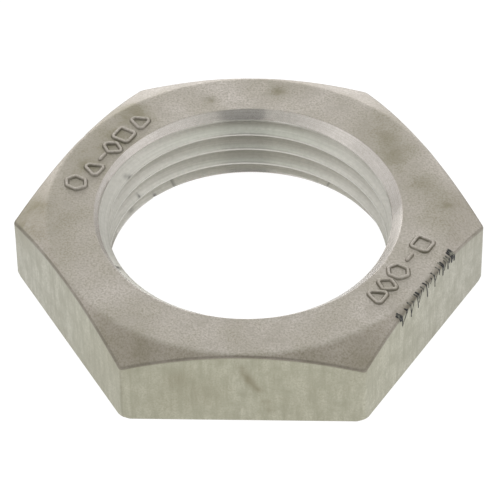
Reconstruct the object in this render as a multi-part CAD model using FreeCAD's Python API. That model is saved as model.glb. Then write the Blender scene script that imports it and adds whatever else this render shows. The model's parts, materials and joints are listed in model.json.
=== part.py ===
# Locknut for a 1 inch pipe thread: a low hexagon nut, cast in one piece, faced and tapped.
# Millimetres. +Z runs up the bore, the origin is the middle of the underside,
# and two opposite corners of the hexagon lie on the X axis.

import FreeCAD
import Part
import math
import os

# Thread: a 60 degree form with flat crests and flat grooves, right-handed
inch = 25.4
threads_per_inch = 11.5
thread_crest_radius = 15.75
thread_crest_flat = 0.36
thread_groove_flat = 0.25
thread_flank_angle = 30.0
thread_start_angle = 157.0

# Countersinks at both ends of the bore
countersink_margin = 0.22
countersink_angle = 45.0

# Hexagon body
wall_at_flats = 5.865
thickness = 10.0
corner_radius = 0.6

# Turned chamfers: a wide one on top and a slight one that only touches the corners below
top_chamfer_inset = 0.33
top_chamfer_angle = 30.0
foot_chamfer_inset = 0.46
foot_chamfer_angle = 34.0

# How far every cutting shape runs past the surface that it cuts
overrun = 0.5

# The groove is swept and cut in short stretches, this many for each turn
stretches_per_turn = 2

sides = 6
side_angle = 360.0 / sides

# Sizes that follow from the ones above
pitch = inch / threads_per_inch
flank_slope = math.tan(math.radians(thread_flank_angle))
thread_depth = (pitch - thread_crest_flat - thread_groove_flat) / (2 * flank_slope)
thread_groove_radius = thread_crest_radius + thread_depth
countersink_radius = thread_groove_radius + countersink_margin
flat_distance = thread_groove_radius + wall_at_flats
sharp_corner_radius = flat_distance / math.cos(math.radians(side_angle / 2))

origin = FreeCAD.Vector(0, 0, 0)
up = FreeCAD.Vector(0, 0, 1)
down = FreeCAD.Vector(0, 0, -1)


def around(radius, angle, centre=origin):
    """The point at this radius and angle in degrees about a centre."""
    turn = math.radians(angle)
    return centre + FreeCAD.Vector(radius * math.cos(turn), radius * math.sin(turn), 0)


def hexagon_outline():
    """Six flats joined by rounded corners, as lines and tangent arcs."""
    arc_distance = (flat_distance - corner_radius) / math.cos(math.radians(side_angle / 2))
    corners = []
    for side in range(sides):
        middle = side * side_angle
        centre = around(arc_distance, middle)
        turns = (middle - side_angle / 2, middle, middle + side_angle / 2)
        corners.append([around(corner_radius, turn, centre) for turn in turns])
    edges = []
    for side, corner in enumerate(corners):
        next_corner = corners[(side + 1) % sides]
        edges.append(Part.Arc(*corner).toShape())
        edges.append(Part.LineSegment(corner[-1], next_corner[0]).toShape())
    return Part.Wire(edges)


def bore_outline():
    """The circle of the thread's crests, drawn as one arc for each side of the hexagon."""
    arcs = []
    for side in range(sides):
        start = side * side_angle
        turns = (start, start + side_angle / 2, start + side_angle)
        arcs.append(Part.Arc(*[around(thread_crest_radius, turn) for turn in turns]).toShape())
    return Part.Wire(arcs)


def turned_envelope():
    """The outer form that the lathe leaves: a disc with a cone above and a cone below."""
    outer = sharp_corner_radius + overrun
    top_circle = flat_distance - top_chamfer_inset
    foot_circle = sharp_corner_radius - foot_chamfer_inset
    top_drop = (outer - top_circle) * math.tan(math.radians(top_chamfer_angle))
    foot_rise = (outer - foot_circle) * math.tan(math.radians(foot_chamfer_angle))
    profile = [
        (0, 0),
        (foot_circle, 0),
        (outer, foot_rise),
        (outer, thickness - top_drop),
        (top_circle, thickness),
        (0, thickness),
        (0, 0),
    ]
    outline = Part.makePolygon([FreeCAD.Vector(radius, 0, height) for radius, height in profile])
    return Part.Face(outline).revolve(origin, up, 360)


def countersink(face_height, outward):
    """A cone that opens the bore to the countersink's rim at one end face."""
    spread = math.tan(math.radians(countersink_angle))
    small = thread_crest_radius - overrun
    large = countersink_radius + overrun
    start = FreeCAD.Vector(0, 0, face_height) - outward * ((countersink_radius - small) / spread)
    return Part.makeCone(small, large, (large - small) / spread, start, outward)


def groove_stretch():
    """The first stretch of the thread's groove, which starts a pitch below the underside.

    It reaches a quarter of the crest's flat inside the bore, so the turns stay apart there.
    """
    inner_radius = thread_crest_radius - thread_crest_flat / 4
    half_floor = thread_groove_flat / 2
    half_mouth = half_floor + (thread_groove_radius - inner_radius) * flank_slope
    section = Part.makePolygon([
        FreeCAD.Vector(thread_groove_radius, 0, -half_floor),
        FreeCAD.Vector(thread_groove_radius, 0, half_floor),
        FreeCAD.Vector(inner_radius, 0, half_mouth),
        FreeCAD.Vector(inner_radius, 0, -half_mouth),
        FreeCAD.Vector(thread_groove_radius, 0, -half_floor),
    ])
    helix = Part.makeHelix(pitch, pitch / stretches_per_turn, thread_crest_radius)
    stretch = Part.Wire(helix.Edges).makePipeShell([section], True, True)
    stretch.rotate(origin, up, thread_start_angle)
    stretch.translate(down * pitch)
    return stretch


def locknut():
    """The hexagon prism inside its turned envelope, countersunk and then threaded.

    The groove is cut stretch by stretch, from a pitch below the underside to past the top.
    """
    plate = Part.Face(hexagon_outline()).cut(Part.Face(bore_outline()))
    nut = plate.extrude(up * thickness).common(turned_envelope())
    nut = nut.cut(countersink(0, down))
    nut = nut.cut(countersink(thickness, up))
    stretch = groove_stretch()
    turns = math.ceil(thickness / pitch) + 2
    for index in range(turns * stretches_per_turn):
        nut = nut.cut(stretch)
        stretch.translate(up * (pitch / stretches_per_turn))
        stretch.rotate(origin, up, 360 / stretches_per_turn)
    return nut


os.makedirs("parts", exist_ok=True)
locknut().exportStep("parts/locknut.step")
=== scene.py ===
import json
import math
from types import SimpleNamespace

import bmesh
import bpy
import numpy as np
from mathutils import Matrix, Vector


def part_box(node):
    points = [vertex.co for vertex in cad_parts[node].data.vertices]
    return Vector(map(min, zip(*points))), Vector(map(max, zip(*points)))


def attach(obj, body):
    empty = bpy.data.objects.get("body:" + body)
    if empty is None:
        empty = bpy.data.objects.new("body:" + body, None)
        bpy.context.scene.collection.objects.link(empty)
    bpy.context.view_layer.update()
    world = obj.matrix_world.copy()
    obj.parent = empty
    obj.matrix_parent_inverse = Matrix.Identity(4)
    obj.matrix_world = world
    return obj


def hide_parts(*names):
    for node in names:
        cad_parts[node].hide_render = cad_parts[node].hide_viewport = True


bl_info = {
    "name": "Cast locknut",
    "version": (1, 0, 0),
    "blender": (4, 5, 0),
    "location": "3D View > Sidebar > Locknut",
    "description": "A low hexagon locknut in blasted stainless steel, with its thread, marks and studio",
    "category": "Object",
}

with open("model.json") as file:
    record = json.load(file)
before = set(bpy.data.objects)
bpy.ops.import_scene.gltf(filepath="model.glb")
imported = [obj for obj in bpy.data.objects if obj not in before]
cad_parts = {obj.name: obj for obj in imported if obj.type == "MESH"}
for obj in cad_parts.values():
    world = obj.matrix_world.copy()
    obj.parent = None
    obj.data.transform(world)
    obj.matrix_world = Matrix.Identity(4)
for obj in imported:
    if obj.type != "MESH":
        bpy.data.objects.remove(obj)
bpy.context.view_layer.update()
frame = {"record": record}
nut_low, nut_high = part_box("locknut")
bore = {mount["name"]: mount["dims"] for mount in frame["record"]["mounts"]}["thread"]

MM = 0.001
TAU = 2 * math.pi
SIDES = 6
SECTOR = TAU / SIDES
ROOT = "root"

# Outward from the front right flat, and along it, which is how the rows of marks run too
OUTWARD = np.array([math.cos(SECTOR / 2), -math.sin(SECTOR / 2)])
ALONG = np.array([math.sin(SECTOR / 2), math.cos(SECTOR / 2)])


def number(title, what, default, **kind):
    """A number for the sidebar."""
    return bpy.props.FloatProperty(
        name=title, description=what, default=default, precision=5, **kind
    )


def length(title, what, default):
    """A length in metres for the sidebar."""
    return number(title, what, default, unit="LENGTH")


def angle(title, what, degrees):
    """An angle for the sidebar, given in degrees and kept in radians."""
    return number(title, what, math.radians(degrees), unit="ROTATION")


def colour(title, what, default):
    """A linear colour for the sidebar."""
    return bpy.props.FloatVectorProperty(
        name=title, description=what, default=default, subtype="COLOR", size=3, min=0, max=1
    )


class BodySizes(bpy.types.PropertyGroup):
    """Hexagon, faces and chamfers."""

    thickness: length("Thickness", "From the underside to the top face", nut_high[2] - nut_low[2])
    flat_distance: length("Flat distance", "From the axis to each flat", nut_high[1])
    corner_radius: length("Corner radius", "Rounding of the six upright corners", 0.6 * MM)
    top_inset: length("Top inset", "How far the top face's circle lies inside the flats", 0.33 * MM)
    top_angle: angle("Top chamfer", "Slope of the chamfer below the top face", 30)
    foot_inset: length("Foot inset", "How far the bottom circle lies inside the sharp corners", 0.46 * MM)
    foot_angle: angle("Foot chamfer", "Slope of the cut on the bottom corners", 34)
    foot_break: length("Foot break", "Least width of the broken edge round the underside", 0.05 * MM)
    face_rounding: length("Face rounding", "Rounding between the top face and the chamfer", 1.2 * MM)
    flat_rounding: length("Flat rounding", "Rounding between the chamfer and a flat", 0.35 * MM)
    foot_rounding: length("Foot rounding", "Rounding of the bottom edges", 0.06 * MM)
    skin_swell: length("Skin swell", "Height of the long waves in the cast skin", 0.02 * MM)
    skin_swell_width: length("Swell width", "Width of those waves", 5.0 * MM)
    skin_grit: length("Skin grit", "Height of the short waves in the cast skin", 0.008 * MM)
    skin_grit_width: length("Grit width", "Width of those waves", 0.9 * MM)
    columns_per_side: bpy.props.IntProperty(
        name="Columns", description="Columns of the mesh for each side of the hexagon", default=84, min=1
    )


class ThreadSizes(bpy.types.PropertyGroup):
    """Bore, thread and countersinks."""

    crest_radius: length("Crest radius", "Radius of the thread's crests", bore["r_mm"] * MM)
    pitch: length("Pitch", "Rise of the thread in a turn", 25.4 * MM / 11.5)
    crest_flat: length("Crest flat", "Height of a crest's flat", 0.27 * MM)
    groove_flat: length("Groove flat", "Height of the groove's floor", 0.34 * MM)
    flank_angle: angle("Flank angle", "Slope of each flank", 30)
    start_angle: angle("Start angle", "Where the groove crosses the underside", 157)
    rim_margin: length("Rim margin", "How far the countersink's rim lies outside the groove", 0.22 * MM)
    sink_angle: angle("Countersink", "Slope of the countersink from the axis", 45)
    rim_rounding: length("Rim rounding", "Rounding of the countersink's rim", 0.14 * MM)
    crest_rounding: length("Crest rounding", "Rounding of the crests' edges", 0.13 * MM)
    groove_rounding: length("Groove rounding", "Rounding beside the groove's floor", 0.12 * MM)


class MarkSizes(bpy.types.PropertyGroup):
    """Raised marks on the top face and scratches over one edge."""

    mark_height: length("Mark height", "How far the cast marks stand up", 0.25 * MM)
    mark_foot: length("Mark foot", "Half the width of a mark's stroke at its foot", 0.29 * MM)
    mark_crown: length("Mark crown", "Half the width of a mark's flat crown", 0.06 * MM)
    mark_waver: length("Mark waver", "How unevenly the cast marks stand up", 0.03 * MM)
    mark_size: length("Mark size", "Height of one mark", 2.7 * MM)
    scratch_height: length("Scratch height", "How far a scratch's burr stands up", 0.02 * MM)


class FinishColours(bpy.types.PropertyGroup):
    """Colours of the steel."""

    cast: colour("Cast face", "Blasted cast skin of the top face", (0.688, 0.638, 0.603))
    cast_dark: colour("Cast shade", "Darker grains of that skin", (0.43, 0.395, 0.345))
    flats: colour("Flats", "Skin of the six flats", (0.567, 0.554, 0.488))
    flats_dark: colour("Flats shade", "Darker streaks of the flats", (0.37, 0.36, 0.295))
    # Painted warm reflection: this multiplies the flats, most the one facing front
    front: colour("Front", "Tint of the yellower flat in front", (1.0, 1.0, 0.92))
    machined: colour("Machined", "Turned and threaded surfaces", (0.70, 0.685, 0.635))
    machined_dark: colour("Machined shade", "Darker tool lines", (0.56, 0.55, 0.50))
    countersink: colour("Countersink", "Tint of the countersinks against the thread", (0.94, 0.905, 0.925))
    # Also the colour of the painted shadow low on the flat left of the front
    stain_and_shadow: colour("Stain", "Olive stains on the cast skin", (0.27, 0.245, 0.165))
    # Painted shade: this darkens the chamfer a little all round and most on the side facing front
    chamfer: colour("Chamfer", "Tint of the chamfer's browner skin in front", (0.70, 0.68, 0.645))
    # Painted shade: the dark colour of the shade lines along the edges and at the marks' feet; the soot
    # beside the scratched edge takes it too
    edge: colour("Edge", "Grime along the edges and beside the marks", (0.17, 0.155, 0.12))
    # Also the colour of the painted shade in the nicks of the thread
    scratch: colour("Scratch", "Burnt scratches", (0.03, 0.03, 0.032))


class StudioSizes(bpy.types.PropertyGroup):
    """Camera, floor and lamps."""

    camera_distance: length("Camera distance", "From the middle of the nut to the lens", 385.6 * MM)
    camera_height: angle("Camera height", "Angle of the camera above the floor", 43.364)
    camera_turn: angle("Camera turn", "Angle of the camera round the nut", 2.211)
    camera_roll: angle("Camera roll", "Turn of the picture", -0.924)
    lens: number("Lens", "Focal length in millimetres on a 36 mm sensor", 245.3)
    shift_x: number("Shift X", "Sideways shift of the picture", 0.00284)
    shift_y: number("Shift Y", "Upward shift of the picture", -0.01485)
    floor_size: length("Floor size", "Side of the square floor", 3.0)
    floor_glow: number("Floor glow", "White that the camera sees besides the lit floor", 0.96)
    walls: colour("Walls", "Light from the studio's walls", (0.62, 0.61, 0.59))
    back_foot: number("Back foot", "Brightness of the back wall just above the floor", 3.4)
    back_wall: colour("Back wall", "Light from the back wall lower down", (0.88, 0.88, 0.87))
    sides: colour("Sides", "Light from the left and right", (0.97, 0.965, 0.955))
    ceiling: colour("Ceiling", "Light from overhead", (0.88, 0.92, 0.87))
    gap_level: number("Gap level", "Brightness of the dark gap behind the camera", 0.28)
    gap_middle: number("Gap middle", "Sideways part of the direction to the gap's middle", 0.066)
    gap_half: number("Gap half", "Half the gap's width, as a sideways part of the direction", 0.22)


def crowded(share, crowding):
    """Shares from 0 to 1 moved towards both ends: s becomes s - k sin(2 pi s) / (2 pi)."""
    return share - crowding * np.sin(TAU * share) / TAU


def rounded_path(corners, radii, line_steps, arc_steps, crowding=None):
    """Points along a path whose corners are rounded by tangent arcs.

    corners is (paths, corners, 2), radii is (paths, corners), with no arc at the two ends.
    An arc of radius r between unit directions a and b starts r tan(turn / 2) before its corner
    and runs through start + r (sin(t) a + (1 - cos(t)) n), where n is b less its part along a.
    A line's points crowd at its ends by its crowding.
    Returns (paths, points, 2), and each point's place along the corners as a number.
    """
    run = np.diff(corners, axis=1)
    way = run / np.linalg.norm(run, axis=2, keepdims=True)
    before, after = way[:, :-1], way[:, 1:]
    cosine = (before * after).sum(2).clip(-1, 1)
    turn = np.arccos(cosine)
    inner = after - cosine[..., None] * before
    inner /= np.linalg.norm(inner, axis=2, keepdims=True)
    radius = radii[:, 1:-1]
    cut = radius * np.tan(turn / 2)
    arc_start = corners[:, 1:-1] - cut[..., None] * before
    arc_end = corners[:, 1:-1] + cut[..., None] * after
    places = []
    order = []
    last = corners[:, 0]
    for index, steps in enumerate(line_steps):
        goal = arc_start[:, index] if index < len(arc_steps) else corners[:, -1]
        share = np.arange(steps) / steps
        if crowding:
            share = crowded(share, crowding[index])
        places.append(last[:, None] + share[None, :, None] * (goal - last)[:, None])
        order.append(index + share)
        if index < len(arc_steps):
            bend = turn[:, index, None] * (np.arange(arc_steps[index]) / arc_steps[index])
            along = np.sin(bend)[..., None] * before[:, index, None]
            across = (1 - np.cos(bend))[..., None] * inner[:, index, None]
            places.append(arc_start[:, index, None] + radius[:, index, None, None] * (along + across))
            order.append(np.full(arc_steps[index], index + 1.0))
            last = arc_end[:, index]
    places.append(corners[:, -1:])
    order.append(np.array([float(len(line_steps))]))
    return np.concatenate(places, 1), np.concatenate(order)


def cell_noise(points, width, seed):
    """Smooth noise from -1 to 1: a random value at each corner of cubes of this width,
    blended along every axis with the weight 3t^2 - 2t^3."""
    cells = 32
    table = np.random.default_rng(seed).uniform(-1, 1, (cells, cells, cells))
    base = np.floor(points / width).astype(int)
    part = points / width - base
    part = part * part * (3 - 2 * part)
    total = np.zeros(len(points))
    for corner in np.ndindex(2, 2, 2):
        weight = np.prod(np.where(corner, part, 1 - part), axis=1)
        total += weight * table[tuple((base + corner).T % cells)]
    return total


def bumps(points, spots):
    """Sum of round bumps: each adds height * exp(-(distance / width)^2)."""
    total = np.zeros(len(points))
    for *place, width, height in spots:
        gap = np.linalg.norm(points - np.array(place) * MM, axis=1)
        total += height * np.exp(-((gap / (width * MM)) ** 2))
    return total


def vertex_normals(places, triangles):
    """Unit normals: the sum of the cross products of each vertex's triangles."""
    corner = places[triangles]
    cross = np.cross(corner[:, 1] - corner[:, 0], corner[:, 2] - corner[:, 0])
    total = np.zeros_like(places)
    for side in range(3):
        np.add.at(total, triangles[:, side], cross)
    size = np.linalg.norm(total, axis=1, keepdims=True)
    return total / np.maximum(size, 1e-20)


def placed(name, data):
    """A new object in the scene."""
    made = bpy.data.objects.new(name, data)
    bpy.context.scene.collection.objects.link(made)
    return made


def triangle_mesh(name, places, triangles, sharp):
    """A mesh object from arrays, with smooth faces and edges sharp beyond an angle in degrees."""
    mesh = bpy.data.meshes.new(name)
    mesh.from_pydata(places, [], triangles)
    mesh.polygons.foreach_set("use_smooth", np.ones(len(triangles), bool))
    mesh.set_sharp_from_angle(angle=math.radians(sharp))
    return placed(name, mesh)


def point_values(piece, name, values):
    """Keeps a value for each vertex of a piece, for its material to read."""
    kept = piece.data.attributes.new(name, "FLOAT", "POINT")
    kept.data.foreach_set("value", values.astype(np.float32))


def about_axis(radius, turns, height):
    """Points at these radii, angles and heights: (r cos(a), r sin(a), h)."""
    return np.stack(np.broadcast_arrays(radius * np.cos(turns), radius * np.sin(turns), height), -1)


def ring_faces(ids, level, climb=0):
    """Quads between the rows of a grid of points that closes on itself round the axis.

    The last column joins the first one, this many rows further up. A quad's corners are row r
    and column c, the next row, the next row and column, and the next column. Their coordinates
    are the column's share of a turn and the row's level.
    """
    columns = ids.shape[1]
    row, column = np.arange(len(level) - 1)[:, None], np.arange(columns)
    following = (column + 1) % columns
    ahead = row + np.where(following == 0, climb, 0)
    quads = [ids[row, column], ids[row + 1, column], ids[ahead + 1, following], ids[ahead, following]]
    across = np.stack([column, column, column + 1, column + 1], -1) / columns
    up = level[np.stack([row, row + 1, row + 1, row], -1)]
    uv = np.stack(np.broadcast_arrays(across, up), -1)
    return np.stack(quads, -1).reshape(-1, 4), uv.reshape(-1, 4, 2)


def halved(quads):
    """Two triangles for each quad: corners 0, 1 and 2, and corners 0, 2 and 3."""
    return np.concatenate([quads[:, [0, 1, 2]], quads[:, [0, 2, 3]]])


def outline_reach(turn, nut):
    """Distance from the axis to the hexagon's outline in each direction.

    Away from a corner it is the flat's distance over the cosine of the angle from that flat's
    middle. Within the corner's arc it is c cos(d) + sqrt(r^2 - c^2 sin(d)^2), where d is the
    angle from the corner, r the arc's radius and c the distance of its centre.
    """
    off_corner = np.abs((turn + SECTOR / 2) % SECTOR - SECTOR / 2)
    straight = nut.flat_distance / np.cos(SECTOR / 2 - off_corner)
    centre = (nut.flat_distance - nut.corner_radius) / math.cos(SECTOR / 2)
    inside = np.maximum(nut.corner_radius ** 2 - (centre * np.sin(off_corner)) ** 2, 0)
    arc = centre * np.cos(off_corner) + np.sqrt(inside)
    touch_across = nut.corner_radius * math.sin(SECTOR / 2)
    touch_along = centre + nut.corner_radius * math.cos(SECTOR / 2)
    return np.where(off_corner < math.atan2(touch_across, touch_along), arc, straight)


def column_turns(nut):
    """Angles of the mesh's columns: even ones for the bore, and ones that crowd at the corners."""
    corner_crowding = 0.93
    total = nut.columns_per_side * SIDES
    even = np.arange(total) * TAU / total
    share = crowded((even / SECTOR) % 1, corner_crowding)
    return even, (np.floor(even / SECTOR + 1e-9) + share) * SECTOR


def nut_sizes(scene):
    """All sizes of the nut: those of its two groups, and the ones that follow from them.

    Those are the thread's depth, the countersink's rim, the circles of both chamfers, and the
    ring on the cone, clear of the rim's rounding, where the threaded ribbon ends.
    """
    groups = (scene.nut_body, scene.nut_thread)
    nut = SimpleNamespace(**{
        name: getattr(group, name) for group in groups for name in type(group).__annotations__
    })
    nut.depth = (nut.pitch - nut.crest_flat - nut.groove_flat) / (2 * math.tan(nut.flank_angle))
    nut.rim = nut.crest_radius + nut.depth + nut.rim_margin
    nut.top_circle = nut.flat_distance - nut.top_inset
    nut.foot_circle = nut.flat_distance / math.cos(SECTOR / 2) - nut.foot_inset
    nut.ring_depth = 2.5 * nut.rim_rounding
    nut.ring = nut.rim - nut.ring_depth * math.tan(nut.sink_angle)
    return nut


def thread_section(nut):
    """Heights from 0 to the pitch, and radii, from the middle of a groove to the next."""
    half_floor = nut.groove_flat / 2
    flank = nut.depth * math.tan(nut.flank_angle)
    floor, crest = nut.crest_radius + nut.depth, nut.crest_radius
    corners = np.array([[
        (0, floor),
        (half_floor, floor),
        (half_floor + flank, crest),
        (nut.pitch - half_floor - flank, crest),
        (nut.pitch - half_floor, floor),
        (nut.pitch, floor),
    ]])
    rounding = (nut.groove_rounding, nut.crest_rounding)
    radii = np.array([[0, *rounding, *reversed(rounding), 0]])
    path, _ = rounded_path(corners, radii, (1, 4, 3, 4, 1), (2, 2, 2, 2))
    return path[0, :-1].T


NICKS = (
    # Angle in degrees, then in millimetres height, half width, half height, and depth, which
    # is below zero for a burr, and how much shade is painted on it
    (124, 1.5, 0.12, 0.6, 0.08, 0.75),
    (134, 1.2, 0.22, 0.3, 0.2, 0.95),
    (144.4, 3.45, 0.18, 0.16, 0.1, 0.8),
    (147.4, 1.6, 0.45, 0.14, 0.06, 0.35),
    (150.8, 7.8, 0.4, 0.12, 0.08, 0.6),
    (151.9, 8.1, 0.3, 0.1, 0.05, 0.45),
    (57.9, 1.2, 0.13, 0.5, 0.06, 0.4),
    (209.3, 8.7, 0.22, 0.22, -0.3, 0.9),
)


def bore_ribbon(nut, turns):
    """The threaded wall as a ribbon whose rows climb with the nut.

    Row t at angle a lies at height pitch * (t + a / 2 pi), so crests and grooves run along
    rows. The radius is the thread's, or a countersink's cone where that is wider. At the
    countersinks' rims the rows end on one ring each.
    Returns places, quads, corner coordinates, and for each place the shade painted on it in a nick and
    its tint, -1 where it is countersunk. The first places are the lower and the upper ring.
    """
    heights, radii = thread_section(nut)
    columns, rows_per_turn = len(turns), len(heights)
    low, high = nut.ring_depth, nut.thickness - nut.ring_depth
    loops = np.arange(-1, math.ceil(nut.thickness / nut.pitch) + 2)
    climb = (heights + nut.pitch * loops[:, None]).reshape(-1, 1)
    height = climb + nut.pitch * ((turns - nut.start_angle) / TAU)
    slack = 0.004 * MM
    above, below = height > high - slack, height < low + slack
    height = np.clip(height, low, high)
    cone = nut.rim - np.minimum(nut.thickness - height, height) * math.tan(nut.sink_angle)
    wall = np.tile(radii, len(loops))[:, None]
    sunk = -(wall <= cone).astype(float)
    radius = np.maximum(wall, cone)
    dark = np.zeros_like(radius)
    # Each nick dents the wall and gets painted shade
    for turn, level, wide, tall, depth, shade in NICKS:
        off = (turns - math.radians(turn) + math.pi) % TAU - math.pi
        across = off * nut.crest_radius / (wide * MM)
        spot = np.exp(-across ** 2 - ((height - level * MM) / (tall * MM)) ** 2)
        radius = radius + depth * MM * spot
        dark = np.maximum(dark, shade * spot)
    ids = 2 * columns + np.arange(height.size).reshape(height.shape)
    ids = np.where(below, np.arange(columns), ids)
    ids = np.where(above, columns + np.arange(columns), ids)
    rings = [about_axis(nut.ring, turns, level) for level in (low, high)]
    places = np.concatenate([*rings, about_axis(radius, turns, height).reshape(-1, 3)])
    level = np.arange(len(climb) - rows_per_turn) / rows_per_turn
    quads, uv = ring_faces(ids, level, rows_per_turn)
    tones = np.tile([0.0, -1.0], (len(places), 1))
    tones[2 * columns:] = np.column_stack([dark.ravel(), sunk.ravel()])
    return places, np.roll(quads, -1, 1), np.roll(uv, -1, 1), tones


# The corners that each outer column passes, as numbers along its path
RIM, FACE_EDGE, FLAT_TOP, FLAT_FOOT, FOOT_EDGE, LOWER_RIM, PATH_END = range(1, 8)

# How far the painted shade lines reach: along the chamfer's lower edge, in those numbers, and up the
# front's left corner, as a length
EDGE_LINE = 0.012
CORNER_LINE = 0.15 * MM


def outer_rows(nut, even, gathered):
    """The rest of the surface as rings from the upper countersink out over the top face, down
    the chamfer and the flats, and in under the nut to the lower countersink.

    Each column is a path in its own upright plane: straight lines joined by tangent arcs. Its
    angle is the even one at the rims and the one gathered at the corners on the flats.
    Returns places, each row's place along the corners, and for each place its painted shade, which is
    exp(-(distance / width)^2) beside the chamfer's lower edge and the front's left corner, and its
    tint: painted shade on the chamfer and a painted warm reflection on the flats, both strongest
    facing front, and -1 on the countersinks.
    """
    top = nut.thickness
    reach = outline_reach(gathered, nut)
    foot = np.minimum(nut.foot_circle, reach - nut.foot_break)
    slant = (reach - nut.top_circle) / math.cos(nut.top_angle)
    flat_cut = nut.flat_rounding * math.tan((math.pi / 2 - nut.top_angle) / 2)
    room = (slant - flat_cut) / math.tan(nut.top_angle / 2)
    corners = (
        # Radius, height and rounding
        (nut.ring, top - nut.ring_depth, 0),
        (nut.rim, top, nut.rim_rounding),
        (nut.top_circle, top, np.minimum(nut.face_rounding, 0.9 * room)),
        (reach, top - (reach - nut.top_circle) * math.tan(nut.top_angle), nut.flat_rounding),
        (reach, (reach - foot) * math.tan(nut.foot_angle), nut.foot_rounding),
        (foot, 0, nut.foot_rounding),
        (nut.rim, 0, nut.rim_rounding),
        (nut.ring, nut.ring_depth, 0),
    )
    corners = np.stack([np.stack(np.broadcast_arrays(*row, reach)[:3], -1) for row in corners], 1)
    line_steps, arc_steps = (1, 16, 9, 28, 1, 12, 1), (4, 6, 6, 3, 3, 4)
    crowding = (0, 0.3, 0.5, 0.85, 0, 0, 0)
    path, order = rounded_path(corners[..., :2], corners[..., 2], line_steps, arc_steps, crowding)
    radius, height = path.transpose(2, 1, 0)
    level = order[:, None]
    blend = np.interp(level, (0, RIM, FACE_EDGE, FOOT_EDGE, LOWER_RIM, PATH_END), (0, 0, 1, 1, 0, 0))
    turns = even * (1 - blend) + gathered * blend
    front = (-np.sin(turns)).clip(0, 1) ** 1.5
    left = (-np.cos(turns)).clip(0, 1)
    # Painted shade: a dark line along the chamfer's lower edge, standing for the dark reflection along
    # that rounded edge; weaker in front and stronger on the left
    edge = np.exp(-(((level - FLAT_TOP) / EDGE_LINE) ** 2)) * (1 - 0.25 * front + 0.3 * left)
    # Painted shade: a dark line up the front's left corner
    beside_corner = (turns - 4 * SECTOR) * nut.foot_circle / CORNER_LINE
    corner = 0.5 * np.exp(-(beside_corner ** 2)) * ((level > FLAT_TOP) & (level < FLAT_FOOT))
    # Painted shade on the chamfer, slight all round and strongest facing front; on the flats the same
    # front weight gives a painted warm reflection
    beyond = ((radius - nut.top_circle + 0.2 * MM) / (0.6 * MM)).clip(0, 1)
    slope = beyond * np.where(level <= FLAT_TOP, 0.12 + 0.88 * front, front)
    tint = np.where((level <= RIM) | (level >= LOWER_RIM), -1, slope)
    return about_axis(radius, turns, height), order, np.stack([np.maximum(edge, corner), tint], -1)


def nut_surface(nut):
    """The whole nut as one closed surface: the threaded ribbon joined to the outer rings.

    Returns places, triangles, each triangle's finish, each corner's coordinates, and for each
    place its painted shade, along the edges and in the nicks, and its tint: painted shade up to 1 on
    the chamfer and a painted warm reflection up to 1 on the flat in front, and -1 on the
    countersinks.
    """
    even, gathered = column_turns(nut)
    columns = np.arange(len(even))
    inner, inner_quads, inner_uv, inner_tones = bore_ribbon(nut, even)
    outer, order, outer_tones = outer_rows(nut, even, gathered)
    ids = len(inner) + np.arange(len(order) * len(even)).reshape(-1, len(even))
    ids[0] = len(even) + columns
    ids[-1] = columns
    steps = np.linalg.norm(np.diff(outer, axis=0), axis=2).mean(1)
    turned_line = 4 * MM
    outer_quads, outer_uv = ring_faces(ids, np.append(0, np.cumsum(steps)) / turned_line)
    middle = (order[:-1] + order[1:]) / 2
    turned = (middle < RIM) | (middle > LOWER_RIM)
    finish = np.select([turned, (middle > FLAT_TOP) & (middle < FLAT_FOOT)], [1, 2], 0)
    slots = np.concatenate([np.ones(len(inner_quads), int), np.repeat(finish, len(even))])
    slots = np.tile(slots, 2)
    triangles = halved(np.concatenate([inner_quads, outer_quads]))
    uv = halved(np.concatenate([inner_uv, outer_uv]))
    first, second, third = triangles.T
    whole = (first != second) & (second != third) & (third != first)
    used, compact = np.unique(triangles[whole], return_inverse=True)
    places = np.concatenate([inner, outer.reshape(-1, 3)])[used]
    tones = np.concatenate([inner_tones, outer_tones.reshape(-1, 2)])[used]
    return places, compact.reshape(-1, 3), slots[whole], uv[whole], tones


DENTS = (
    # Place, width and height in millimetres, below zero for a dent
    (-4.95, 18.66, 10, 0.45, -0.09),
    (2.94, 20.37, 10, 0.5, -0.05),
    (-19.1, 12.3, 9.8, 0.4, -0.07),
    (12, -18.2, 10, 0.45, -0.04),
    (6.1, -19, 10, 0.6, -0.04),
    (-6.4, -19.4, 10, 0.5, -0.04),
    (19.2, 5.1, 10, 0.5, -0.05),
    (-10.4, -23, 3.2, 0.6, -0.05),
    (5.6, -23, 2.6, 0.7, -0.05),
    (-17.6, -16.2, 4, 0.6, -0.05),
    (20.4, -10.9, 3.4, 0.6, -0.05),
)


def cast_skin(nut, places, triangles):
    """Moves the cast faces along their normals by two sizes of smooth noise and some dents.

    The move fades out beside the countersinks' rims and above the floor, so machined faces and
    the underside stay true.
    """
    rim_fade, foot_fade = 0.3 * MM, 0.2 * MM
    swell_seed, grit_seed = 3, 5
    radius = np.linalg.norm(places[:, :2], axis=1)
    cast = ((radius - nut.rim - nut.rim_rounding) / rim_fade).clip(0, 1)
    above_floor = (places[:, 2] / foot_fade).clip(0, 1)
    height = nut.skin_swell * (cell_noise(places, nut.skin_swell_width, swell_seed) - 1)
    height += nut.skin_grit * (cell_noise(places, nut.skin_grit_width, grit_seed) - 1)
    height += MM * bumps(places, DENTS)
    move = height * cast * above_floor
    return places + move[:, None] * vertex_normals(places, triangles)


def top_skin(nut, across):
    """Points on the top face or its chamfer above these (x, y) places, with their normals.

    The height is the thickness, less the radius beyond the top circle times the chamfer's slope.
    """
    radius = np.linalg.norm(across, axis=1)
    beyond = np.maximum(radius - nut.top_circle, 0)
    height = nut.thickness - beyond * math.tan(nut.top_angle)
    tilt = np.where(beyond > 0, math.sin(nut.top_angle), 0)
    outward = across / radius[:, None]
    normal = np.column_stack([outward * tilt[:, None], np.sqrt(1 - tilt ** 2)])
    return np.column_stack([across, height]), normal


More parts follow.
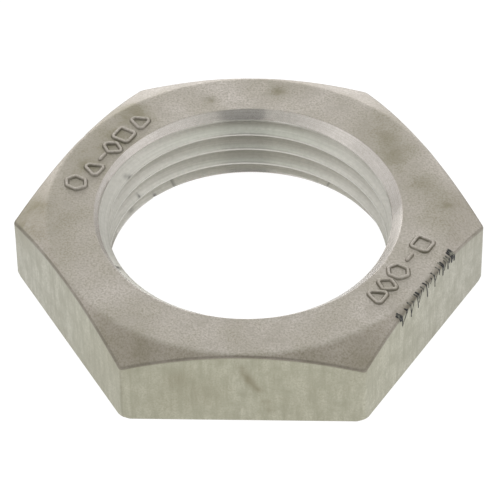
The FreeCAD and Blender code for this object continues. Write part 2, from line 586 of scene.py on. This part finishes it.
def ridge(places, normals, closed, foot, crown, height, sink):
    """A raised stroke: a rounded section carried along a path on the surface.

    Across the stroke, its height is full out to the crown's half width and falls to nothing
    at the foot's by 1 - (3t^2 - 2t^3); below, it is sunk into the surface. The ends of an open
    stroke shrink as a quarter circle does, to the cosine while the path runs on by the sine.
    Returns places, triangles, and each place's share of painted shade, which gathers at the foot.
    """
    across = np.linspace(-1, 1, 13)
    fall = ((np.abs(across) * foot - crown) / (foot - crown)).clip(0, 1)
    section = np.column_stack([across * foot, height * (1 - fall * fall * (3 - 2 * fall))])
    section = np.vstack([section, (foot, -sink), (-foot, -sink)])
    # Painted shade at the stroke's foot and on its sunk skirt
    painted_foot_shade = 1.9 * np.append((2.8 * fall - 0.7).clip(0, 1), (1.0, 1.0))
    if closed:
        ahead = np.roll(places, -1, 0) - np.roll(places, 1, 0)
    else:
        ahead = np.gradient(places, axis=0)
    ahead /= np.linalg.norm(ahead, axis=1, keepdims=True)
    size = np.ones(len(places))
    if not closed:
        end_rows = 4
        bend = np.linspace(0, math.pi / 2, end_rows + 1)[1:]
        tail = foot * np.sin(bend)[:, None]
        places = np.vstack([places[0] - ahead[0] * tail[::-1], places, places[-1] + ahead[-1] * tail])
        size = np.concatenate([np.cos(bend)[::-1], size, np.cos(bend)])
        ends = ((end_rows, end_rows), (0, 0))
        normals, ahead = np.pad(normals, ends, "edge"), np.pad(ahead, ends, "edge")
    beside = np.cross(ahead, normals)
    beside /= np.linalg.norm(beside, axis=1, keepdims=True)
    sized = section * size[:, None, None]
    grid = places[:, None] + sized[..., :1] * beside[:, None] + sized[..., 1:] * normals[:, None]
    rows, points = grid.shape[:2]
    ids = np.arange(rows * points).reshape(rows, points)
    ids = np.vstack([ids, ids[:1]]) if closed else ids
    following = np.roll(ids, -1, 1)
    quads = np.stack([ids[:-1], following[:-1], following[1:], ids[1:]], -1).reshape(-1, 4)
    return grid.reshape(-1, 3), halved(quads), np.tile(painted_foot_shade, rows)


def stroke_piece(name, strokes, material):
    """Makes one piece from several strokes, closed at their ends and facing outward."""
    places, triangles, painted_foot_shade = zip(*strokes)
    starts = np.cumsum([0, *map(len, places[:-1])])
    moved = [part + start for part, start in zip(triangles, starts)]
    piece = triangle_mesh(name, np.concatenate(places), np.concatenate(moved), 60)
    # Painted shade at the strokes' feet
    point_values(piece, "edge", np.concatenate(painted_foot_shade))
    mesh = bmesh.new()
    mesh.from_mesh(piece.data)
    bmesh.ops.remove_doubles(mesh, verts=mesh.verts, dist=1e-8)
    bmesh.ops.dissolve_degenerate(mesh, edges=mesh.edges, dist=1e-9)
    bmesh.ops.recalc_face_normals(mesh, faces=mesh.faces)
    mesh.to_mesh(piece.data)
    mesh.free()
    piece.data.materials.append(material)
    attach(piece, ROOT)


MARKS = {
    # Figure, place along its line and distance of that line from the axis, in millimetres
    "marks_left": (
        ("hexagon", -6.1, 19.1),
        ("triangle", -3.1, 18.9),
        ("dash", -0.9, 19.1),
        ("diamond", 1, 18.8),
        ("square", 3.5, 18.9),
        ("triangle", 6.3, 18.8),
    ),
    "marks_right": (
        ("triangle", -4.5, -19.1),
        ("diamond", -2.4, -19.4),
        ("hexagon", 0, -19.4),
        ("dash", 2.6, -19.2),
        ("square", 5.2, -19.5),
    ),
}


def mark_shapes(tall):
    """The generic marks: outlines of simple figures and a dash, each centred on its place."""
    turns = TAU / 4 + np.arange(6) * TAU / 6
    shapes = {
        "diamond": ((0, 1), (-0.68, 0), (0, -1), (0.68, 0)),
        "square": ((-0.7, 0.75), (-0.7, -0.75), (0.7, -0.75), (0.7, 0.75)),
        "triangle": ((0, 0.95), (-0.8, -0.8), (0.8, -0.8)),
        "hexagon": np.column_stack([0.8 * np.cos(turns), 0.95 * np.sin(turns)]),
        "dash": ((-0.32, -0.1), (0.32, -0.1)),
    }
    return {name: np.array(corners) * tall / 2 for name, corners in shapes.items()}


def mark_path(points, closed):
    """A mark's outline or line with rounded corners and evenly spaced points."""
    bend, step = 0.36 * MM, 0.12 * MM
    if closed:
        start = (points[-1] + points[0]) / 2
        points = np.vstack([start, points, start])
    radii = np.full((1, len(points)), bend)
    path, _ = rounded_path(points[None], radii, (6,) * (len(points) - 1), (6,) * (len(points) - 2))
    path = path[0]
    run = np.append(0, np.cumsum(np.linalg.norm(np.diff(path, axis=0), axis=1)))
    stops = np.linspace(0, run[-1], max(int(run[-1] / step), 3) + 1)
    spaced = np.column_stack([np.interp(stops, run, side) for side in path.T])
    return spaced[:-1] if closed else spaced


# How far the feet of marks and scratches are sunk into the steel
MARK_SINK = 0.12 * MM
SCRATCH_SINK = 0.08 * MM


class LOCKNUT_OT_marks(bpy.types.Operator):
    """Makes the two rows of raised generic marks on the top face"""

    bl_idname = "locknut.make_marks"
    bl_label = "Raised marks"

    def execute(self, context):
        marks, nut = context.scene.nut_marks, nut_sizes(context.scene)
        waver_width, waver_seed = 0.7 * MM, 7
        shapes = mark_shapes(marks.mark_size)
        for name, row in MARKS.items():
            strokes = []
            for figure, place, line in row:
                closed = figure != "dash"
                path = mark_path(shapes[figure], closed)
                flat = (path[:, :1] + place * MM) * ALONG - (path[:, 1:] + line * MM) * OUTWARD
                spots, normals = top_skin(nut, flat)
                waver = marks.mark_waver * cell_noise(spots, waver_width, waver_seed)
                strokes.append(ridge(
                    spots + normals * waver[:, None], normals, closed,
                    marks.mark_foot, marks.mark_crown, marks.mark_height, MARK_SINK,
                ))
            stroke_piece(name, strokes, bpy.data.materials["cast_stainless"])
        return {"FINISHED"}


def edge_skin(nut, path):
    """Points on the front right side where the chamfer meets its flat, with their normals.

    The first number runs along the edge. The second is how far down the flat the point lies,
    or below zero how far in over the chamfer.
    """
    down = path[:, 1]
    flat = ALONG * path[:, :1] + OUTWARD * (nut.flat_distance + np.minimum(down, 0))[:, None]
    spots, normals = top_skin(nut, flat)
    spots[:, 2] -= np.maximum(down, 0)
    normals[down > 0] = (*OUTWARD, 0)
    return spots, normals


SCRATCHES = (
    # Place along the edge, how far down from it the upper and lower ends lie, how far the
    # lower end leans over, and half the width, all in millimetres
    (-5.85, -0.45, 0.35, 0.15, 0.14),
    (-5.6, -0.55, 0.6, 0.2, 0.13),
    (-5.45, -0.3, 1.6, 0.25, 0.08),
    (-4.45, -0.25, 0.5, 0.15, 0.08),
    (-4.2, 0.05, 1.45, -0.95, 0.06),
    (-3.6, -0.4, 1.95, 0.3, 0.09),
    (-3.05, -0.15, 0.7, 0.2, 0.07),
    (-2.75, 0.1, 1.6, -0.6, 0.05),
    (-2.2, -0.35, 2, 0.45, 0.08),
    (-1.85, -0.35, 0.7, 0.2, 0.11),
    (-1.1, -0.05, 1.3, -0.5, 0.06),
    (-0.8, -0.3, 0.5, 0.15, 0.09),
    (-0.2, -0.4, 2.05, 0.5, 0.09),
    (0.25, -0.25, 0.85, 0.25, 0.06),
    (1.1, -0.1, 0.6, -0.2, 0.06),
    (1.65, -0.4, 1.8, 0.3, 0.09),
    (2.45, 0.05, 1.15, -0.55, 0.05),
    (2.75, -0.45, 0.75, 0.15, 0.08),
    (3.5, -0.55, 1.45, 0.25, 0.1),
    (3.75, -0.45, 0.45, 0.1, 0.09),
    (4.35, -0.3, 0.95, -0.35, 0.06),
    (4.7, -0.5, 1.3, 0.2, 0.1),
    (5.05, -0.45, 0.55, 0.15, 0.11),
    (5.55, -0.6, 0.8, 0.15, 0.13),
    (5.85, -0.65, 0.45, 0.1, 0.14),
    (6.15, -0.7, 0.9, 0.15, 0.14),
)


class LOCKNUT_OT_scratches(bpy.types.Operator):
    """Makes the burnt scratches over the front right edge"""

    bl_idname = "locknut.make_scratches"
    bl_label = "Scratches"

    def execute(self, context):
        nut = nut_sizes(context.scene)
        strokes = []
        share = np.linspace(0, 1, 13)
        bow = 0.06 * MM * np.sin(math.pi * share)
        for place, upper, lower, lean, half in np.array(SCRATCHES) * MM:
            path = np.column_stack([place + lean * share + bow, upper + (lower - upper) * share])
            spots, normals = edge_skin(nut, path)
            burr = context.scene.nut_marks.scratch_height
            strokes.append(ridge(spots, normals, False, half, half / 3, burr, SCRATCH_SINK))
        colours = context.scene.nut_colours
        stroke_piece("scratches", strokes, steel("burnt_scratch", 0.3, scratch_finish, colours))
        return {"FINISHED"}


def feed(tree, socket, value):
    """Links a value that comes from another node to a socket, or else sets it there."""
    if isinstance(value, bpy.types.NodeSocket):
        tree.links.new(value, socket)
    elif socket.type == "RGBA":
        socket.default_value = (*value, 1.0)
    else:
        socket.default_value = value


def fill(tree, made, **inputs):
    """Gives a node's inputs their values or links by name."""
    for name, value in inputs.items():
        feed(tree, made.inputs[name.replace("_", " ")], value)


def node(tree, kind, settings=(), values=(), out=0, **inputs):
    """One output of a new node with some settings, and with values or links for its inputs."""
    made = tree.nodes.new(kind)
    for name, value in dict(settings).items():
        setattr(made, name, value)
    for socket, value in zip(made.inputs, values):
        feed(tree, socket, value)
    fill(tree, made, **inputs)
    return made.outputs[out]


def object_places(tree, stretch=(1, 1, 1)):
    """Object coordinates, stretched along the axes."""
    places = node(tree, "ShaderNodeTexCoord", out="Object")
    return node(tree, "ShaderNodeMapping", Vector=places, Scale=stretch)


def noise(tree, places, scale, detail, roughness):
    """Noise with this many features to the metre."""
    settings = {"Scale": scale, "Detail": detail, "Roughness": roughness}
    return node(tree, "ShaderNodeTexNoise", Vector=places, **settings)


def ramp(tree, value, low, high, *goals):
    """The value stretched so that low and high become 0 and 1, or the two goals."""
    return node(tree, "ShaderNodeMapRange", {"clamp": True}, (value, low, high, *goals))


def mixed(tree, share, first, second, blend="MIX"):
    """Two colours blended by a share."""
    made = tree.nodes.new("ShaderNodeMix")
    made.data_type, made.blend_type = "RGBA", blend
    for index, value in ((0, share), (6, first), (7, second)):
        feed(tree, made.inputs[index], value)
    return made.outputs[2]


def combined(tree, operation, *values):
    """Values joined by a sum, a difference or another operation."""
    return node(tree, "ShaderNodeMath", {"operation": operation}, values)


def product(tree, first, second):
    """One value times another."""
    return combined(tree, "MULTIPLY", first, second)


def attribute(tree, name):
    """A value kept on the mesh's vertices."""
    return node(tree, "ShaderNodeAttribute", {"attribute_name": name}, out="Fac")


def bumped(tree, height, distance, strength):
    """A normal that is tilted by a height."""
    return node(tree, "ShaderNodeBump", Height=height, Distance=distance, Strength=strength)


def steel(name, metallic, finish, colours):
    """A new steel material, whose main shader is filled by the function for its finish."""
    material = bpy.data.materials.new(name)
    material.use_nodes = True
    shader = material.node_tree.nodes["Principled BSDF"]
    shader.inputs["Metallic"].default_value = metallic
    finish(material.node_tree, shader, colours)
    return material


def fill_skin(tree, shader, colours, tone, grain, blotch, roughest, blotch_height):
    """Gives a cast skin its colour, with painted shade and soot where the edge attribute has it, and its
    relief.
    """
    painted_shade_and_soot = product(tree, attribute(tree, "edge"), ramp(tree, blotch, 0.0, 1.1))
    height = combined(tree, "ADD", grain, product(tree, blotch, blotch_height))
    fill(
        tree, shader,
        Base_Color=mixed(tree, painted_shade_and_soot, tone, colours.edge),
        Roughness=ramp(tree, grain, 0, 1, 0.42, roughest),
        Normal=bumped(tree, height, 0.05 * MM, 0.6),
    )


def cast_finish(tree, shader, colours):
    """Blasted cast skin: fine grains, soft blotches, a slightly darker chamfer with painted shade on it in
    front, and the olive stains.
    """
    places = object_places(tree)
    grain = noise(tree, places, 4200, 2.0, 0.7)
    blotch = noise(tree, places, 420, 4.0, 0.65)
    shade = product(tree, ramp(tree, grain, 0.32, 0.6), ramp(tree, blotch, 0.15, 0.62))
    skin = mixed(tree, shade, colours.cast_dark, colours.cast)
    ragged = product(tree, attribute(tree, "stain_and_shadow"), ramp(tree, blotch, 0.1, 0.6))
    patch = noise(tree, places, 210, 3.0, 0.6)
    faint = product(tree, ramp(tree, patch, 0.45, 0.62), 0.26)
    olive = mixed(tree, combined(tree, "ADD", ragged, faint), skin, colours.stain_and_shadow)
    # Painted shade on the chamfer, most facing front
    sloping = ramp(tree, attribute(tree, "tint"), 0, 1)
    tone_with_painted_shade = mixed(tree, sloping, olive, colours.chamfer, "MULTIPLY")
    fill_skin(tree, shader, colours, tone_with_painted_shade, grain, blotch, 0.66, 1.5)


def flats_finish(tree, shader, colours):
    """Skin of the flats: the same grains, with upright streaks, blotches and dark smudges."""
    places = object_places(tree)
    grain = noise(tree, places, 4000, 2.0, 0.7)
    streak = noise(tree, object_places(tree, (1, 1, 0.15)), 1500, 3.0, 0.6)
    blotch = noise(tree, places, 560, 4.0, 0.65)
    lines = product(tree, ramp(tree, streak, 0.15, 0.6), ramp(tree, grain, 0.2, 0.6))
    shade = product(tree, lines, ramp(tree, blotch, 0.2, 0.6))
    skin = mixed(tree, shade, colours.flats_dark, colours.flats)
    # A painted warm reflection on the flats facing front
    in_front = ramp(tree, attribute(tree, "tint"), 0, 1)
    skin = mixed(tree, in_front, skin, colours.front, "MULTIPLY")
    # The stains, one of them a painted shadow
    uneven = combined(tree, "ADD", attribute(tree, "stain_and_shadow"), ramp(tree, blotch, 0, 1, -0.3, 0.3))
    stained_and_shadowed = mixed(tree, ramp(tree, uneven, 0.1, 1.1), skin, colours.stain_and_shadow)
    fill_skin(tree, shader, colours, stained_and_shadowed, grain, blotch, 0.62, 1.0)


def machined_finish(tree, shader, colours):
    """Turned steel: fine lines round the bore, which follow the mesh's own coordinates."""
    turned = node(tree, "ShaderNodeUVMap", {"uv_map": "turned"})
    stretched = node(tree, "ShaderNodeMapping", Vector=turned, Scale=(9, 34, 1))
    lines = noise(tree, stretched, 1.0, 4.0, 0.6)
    grain = noise(tree, object_places(tree), 2200, 3.0, 0.6)
    shade = product(tree, ramp(tree, lines, 0.25, 0.6), ramp(tree, grain, 0.1, 0.6))
    tone = mixed(tree, shade, colours.machined_dark, colours.machined)
    sunk = ramp(tree, attribute(tree, "tint"), 0, -1)
    tinted = mixed(tree, sunk, tone, colours.countersink, "MULTIPLY")
    rough = ramp(tree, lines, 0, 1, 0.26, 0.31)
    finer = product(tree, sunk, 0.05)
    fill(
        tree, shader,
        # Painted shade in the nicks of the thread, in the scratches' colour
        Base_Color=mixed(tree, attribute(tree, "edge"), tinted, colours.scratch),
        Roughness=combined(tree, "SUBTRACT", rough, finer),
        Tangent=node(tree, "ShaderNodeTangent", {"direction_type": "RADIAL", "axis": "Z"}),
        Anisotropic=1.0,
        Anisotropic_Rotation=0.25,
        Normal=bumped(tree, lines, 0.01 * MM, 0.08),
    )


def scratch_finish(tree, shader, colours):
    """Burnt scratches: nearly black, with the steel showing through in places."""
    patch = ramp(tree, noise(tree, object_places(tree), 1400, 3.0, 0.6), 0.5, 0.75)
    tone = mixed(tree, patch, colours.scratch, colours.flats_dark)
    fill(tree, shader, Base_Color=tone, Roughness=0.6)


# The nut's materials, in the order of its faces' numbers
FINISHES = (
    ("cast_stainless", 0.85, cast_finish),
    ("machined_stainless", 0.95, machined_finish),
    ("flats_stainless", 0.85, flats_finish),
)


STAINS = (
    # Place, width in millimetres and strength of each olive stain or dark smudge, and of one painted
    # shadow
    (-16.5, 12.5, 10, 3.6, 0.55),
    (-18.9, 8, 10, 3, 0.45),
    (-13.5, 16.2, 10, 2.6, 0.5),
    (13.6, 13.6, 10, 3.4, 0.45),
    (16.2, 9.8, 10, 3, 0.42),
    (18.6, 5.2, 10, 2.4, 0.35),
    (3, 20.4, 10, 1, 0.6),
    (-5, 18.7, 10, 0.7, 0.7),
    (-18, -7, 10, 3, 0.25),
    (-19.5, 3, 10, 4.5, 0.22),
    (20.5, 2, 10, 4.5, 0.15),
    (0, -19.6, 10, 5, 0.1),
    (-12.9, -20.9, 9, 3.4, 0.42),
    (12.7, -20.9, 9, 3.4, 0.25),
    (-24.4, -0.6, 9.3, 3.8, 0.65),
    (24.4, -0.5, 9, 3.6, 0.3),
    (22.3, 1.2, 9.6, 0.5, 0.5),
    (0, -23, 8.2, 0.45, 0.5),
    (0.1, -23, 7.4, 0.5, 0.6),
    (0.45, -23, 6.6, 0.5, 0.75),
    (0.8, -23, 6, 0.5, 0.75),
    (1.2, -23, 5.3, 0.45, 0.65),
    (1.7, -23, 4.7, 0.5, 0.75),
    (2.5, -23, 2.9, 0.5, 0.5),
    (2.9, -23, 1.6, 0.5, 0.5),
    (-6.9, -23, 6.4, 1.6, 0.35),
    (-3.5, -23, 4.4, 2.2, 0.3),
    (-8, -23, 3, 4, 0.3),
    (7, -23, 4, 6, 0.18),
    # Painted shadow: darker low on the flat left of the front, beside their corner, where the floor's
    # shadow shows in the steel
    (-16.2, -18, 3, 4.5, 0.25),
)

# Soot beside the scratched edge: its width, how far it runs each way along, and its strength
SOOT_WIDTH = 0.4 * MM
SOOT_REACH = 6.0 * MM
SOOT_LEVEL = 1.8


def soot(nut, places):
    """Soot beside the scratched front right edge.

    It is k exp(-(d / w)^2) in the distance d from that edge, where w is SOOT_WIDTH and k is
    SOOT_LEVEL, and it fades out past SOOT_REACH by exp(-(excess / w)^2).
    """
    run = places[:, :2] @ ALONG
    inward = nut.flat_distance - places[:, :2] @ OUTWARD
    drop = np.hypot(nut.flat_distance, run) - nut.top_circle
    level = nut.thickness - drop * math.tan(nut.top_angle)
    excess = np.maximum(np.abs(run) - SOOT_REACH, 0)
    away = inward ** 2 + (places[:, 2] - level) ** 2 + excess ** 2
    return SOOT_LEVEL * np.exp(-away / SOOT_WIDTH ** 2)


class LOCKNUT_OT_body(bpy.types.Operator):
    """Makes the nut as one closed surface: bore, thread, countersinks, faces, chamfers and flats"""

    bl_idname = "locknut.make_body"
    bl_label = "Nut body"

    def execute(self, context):
        nut = nut_sizes(context.scene)
        places, triangles, slots, uv, tones = nut_surface(nut)
        places = cast_skin(nut, places, triangles)
        piece = triangle_mesh("nut", places, triangles, 35)
        piece.data.polygons.foreach_set("material_index", slots.astype(np.int32))
        piece.data.uv_layers.new(name="turned").data.foreach_set("uv", uv.astype(np.float32).ravel())
        # Olive stains and dark smudges, with one painted shadow
        point_values(piece, "stain_and_shadow", bumps(places, STAINS).clip(0, 1))
        # Painted shade along the edges and in the nicks, with the soot beside the scratched edge
        point_values(piece, "edge", np.maximum(tones[:, 0], soot(nut, places)))
        # Painted shade on the chamfer and a painted warm reflection on the flats, both most facing front;
        # -1 on the countersinks
        point_values(piece, "tint", tones[:, 1])
        for finish in FINISHES:
            piece.data.materials.append(steel(*finish, context.scene.nut_colours))
        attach(piece, ROOT)
        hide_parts("locknut")
        return {"FINISHED"}


def floor_material(glow):
    """Pale matt floor that the camera and gloss see as white, with the object's shadow kept."""
    material = bpy.data.materials.new("white_floor")
    material.use_nodes = True
    tree = material.node_tree
    tree.nodes.clear()
    matt, shaded = (node(tree, "ShaderNodeBsdfDiffuse", Color=(level,) * 3) for level in (0.8, 0.15))
    light = node(tree, "ShaderNodeEmission", Color=(1, 1, 1), Strength=glow)
    white = node(tree, "ShaderNodeAddShader", values=(shaded, light))
    ray = tree.nodes.new("ShaderNodeLightPath").outputs
    seen = combined(tree, "MAXIMUM", ray["Is Camera Ray"], ray["Is Glossy Ray"])
    seen = combined(tree, "MAXIMUM", seen, ray["Is Transmission Ray"])
    choice = node(tree, "ShaderNodeMixShader", values=(seen, matt, white))
    fill(tree, tree.nodes.new("ShaderNodeOutputMaterial"), Surface=choice)
    return material


def floor_sheet(studio):
    """The floor: a square just under the nut."""
    half, below = studio.floor_size / 2, 0.02 * MM
    corners = ((-half, -half), (half, -half), (half, half), (-half, half))
    mesh = bpy.data.meshes.new("floor")
    mesh.from_pydata([(*corner, -below) for corner in corners], [], [(0, 1, 2, 3)])
    mesh.materials.append(floor_material(studio.floor_glow))
    placed("floor", mesh)


def likeness(tree, direction, axis):
    """The cosine of the angle between a direction and an axis."""
    settings = {"operation": "DOT_PRODUCT"}
    return node(tree, "ShaderNodeVectorMath", settings, (direction, axis), "Value")


def studio_world(studio):
    """A plain studio: bright at both sides and overhead, dimmer in between, with a bright strip
    low at the back and a dark upright gap in front, where whoever takes the picture stands.

    Each part is a ramp in the cosine between the direction and an axis.
    """
    strip_axis, gap_blur = (-0.2, 0.98, 0), 0.005
    world = bpy.data.worlds.new("studio")
    world.use_nodes = True
    tree = world.node_tree
    direction = node(tree, "ShaderNodeTexCoord", out="Generated")
    axes = ((1, 0, 0), (0, 1, 0), (0, 0, 1), strip_axis)
    right, back, rise, behind = (likeness(tree, direction, axis) for axis in axes)
    room = mixed(tree, ramp(tree, rise, 0.75, 0.88), studio.walls, studio.ceiling)
    aside = combined(tree, "ABSOLUTE", right)
    room = mixed(tree, ramp(tree, aside, 0.35, 0.65), room, studio.sides)
    lower = product(tree, ramp(tree, back, 0.3, 0.8), ramp(tree, rise, 0.9, 0.3))
    room = mixed(tree, lower, room, studio.back_wall)
    strip = product(tree, ramp(tree, behind, 0.8, 0.93), ramp(tree, rise, 0.34, 0.14))
    room = mixed(tree, strip, room, (studio.back_foot,) * 3)
    beyond = combined(tree, "ABSOLUTE", combined(tree, "SUBTRACT", right, studio.gap_middle))
    within = ramp(tree, beyond, studio.gap_half + gap_blur, studio.gap_half - gap_blur)
    gap = product(tree, within, ramp(tree, back, -0.3, -0.6))
    room = mixed(tree, gap, room, (studio.gap_level,) * 3)
    fill(tree, tree.nodes["Background"], Color=room)
    bpy.context.scene.world = world


SOFTBOXES = (
    # Name, place and size in metres, and power in watts
    ("left_softbox", (-0.60, -0.19, 0.42), 0.26, 0.05),
    ("right_softbox", (0.62, -0.05, 0.34), 0.3, 0.055),
)


def softbox(name, place, size, power):
    """A square lamp at a place, aimed at the nut."""
    lamp = bpy.data.lights.new(name, "AREA")
    lamp.shape, lamp.size, lamp.energy = "SQUARE", size, power
    holder = placed(name, lamp)
    holder.location = place
    holder.rotation_euler = (-Vector(place)).to_track_quat("-Z", "Y").to_euler()


def photo_camera(nut, studio):
    """The camera: moved back from the nut's middle, rolled, raised and turned round the nut."""
    data = bpy.data.cameras.new("photo_camera")
    data.lens, data.sensor_width = studio.lens, 36.0
    data.shift_x, data.shift_y = studio.shift_x, studio.shift_y
    data.clip_start = 0.01
    camera = placed("photo_camera", data)
    middle = Matrix.Translation((0, 0, nut.thickness / 2))
    turn = Matrix.Rotation(studio.camera_turn, 4, "Z")
    lift = Matrix.Rotation(math.pi / 2 - studio.camera_height, 4, "X")
    roll = Matrix.Rotation(studio.camera_roll, 4, "Z")
    away = Matrix.Translation((0, 0, studio.camera_distance))
    camera.matrix_world = middle @ turn @ lift @ roll @ away
    bpy.context.scene.camera = camera


class LOCKNUT_OT_stage(bpy.types.Operator):
    """Makes the floor, the studio's light and the camera"""

    bl_idname = "locknut.make_stage"
    bl_label = "Stage"

    def execute(self, context):
        scene = context.scene
        floor_sheet(scene.nut_studio)
        studio_world(scene.nut_studio)
        for lamp in SOFTBOXES:
            softbox(*lamp)
        photo_camera(nut_sizes(scene), scene.nut_studio)
        scene.view_settings.view_transform = "Standard"
        return {"FINISHED"}


class LOCKNUT_PT_panel(bpy.types.Panel):
    """Sizes, colours and steps of the locknut"""

    bl_label = "Locknut"
    bl_idname = "LOCKNUT_PT_panel"
    bl_space_type = "VIEW_3D"
    bl_region_type = "UI"
    bl_category = "Locknut"

    def draw(self, context):
        for name, group in GROUPS:
            box = self.layout.box()
            box.label(text=group.__doc__)
            for size in group.__annotations__:
                box.prop(getattr(context.scene, name), size)
        for operator in OPERATORS:
            self.layout.operator(operator.bl_idname)


GROUPS = (
    ("nut_body", BodySizes),
    ("nut_thread", ThreadSizes),
    ("nut_marks", MarkSizes),
    ("nut_colours", FinishColours),
    ("nut_studio", StudioSizes),
)
OPERATORS = (LOCKNUT_OT_body, LOCKNUT_OT_marks, LOCKNUT_OT_scratches, LOCKNUT_OT_stage)


def register():
    """Registers the classes and hangs the sizes on the scene."""
    for name, group in GROUPS:
        bpy.utils.register_class(group)
        setattr(bpy.types.Scene, name, bpy.props.PointerProperty(type=group))
    for kind in (*OPERATORS, LOCKNUT_PT_panel):
        bpy.utils.register_class(kind)


def unregister():
    """Takes the classes and the sizes away again."""
    for kind in (LOCKNUT_PT_panel, *reversed(OPERATORS)):
        bpy.utils.unregister_class(kind)
    for name, group in GROUPS:
        delattr(bpy.types.Scene, name)
        bpy.utils.unregister_class(group)


def main():
    """Makes the nut, its marks and scratches, and the stage."""
    register()
    bpy.ops.locknut.make_body()
    bpy.ops.locknut.make_marks()
    bpy.ops.locknut.make_scratches()
    bpy.ops.locknut.make_stage()


if __name__ == "__main__":
    main()
